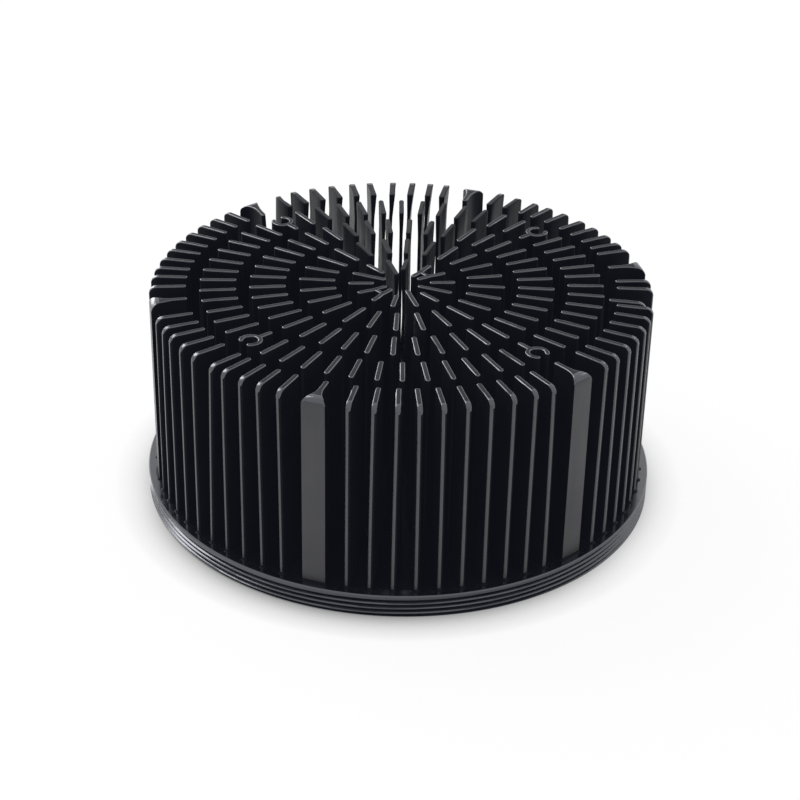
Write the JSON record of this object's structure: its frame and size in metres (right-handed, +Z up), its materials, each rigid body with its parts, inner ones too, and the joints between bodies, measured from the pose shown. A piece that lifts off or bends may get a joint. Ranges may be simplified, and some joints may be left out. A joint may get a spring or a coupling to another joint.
{
  "type": "pin fin heat sink",
  "caption": "Round forged heat sink: rings of upright radial fins on a base plate with a threaded rim, wide T fins round the outside and slotted screw ports.",
  "frame": {"origin": "centre of the base plate's flat underside", "axes": "+Z up along the fins, +X through the middle of one screw port and of one T fin"},
  "size_m": [0.15, 0.15, 0.064],
  "materials": {
    "body": "black anodised, satin"
  },
  "bodies": {
    "root": {"heat_sink": "body"}
  },
  "joints": []
}
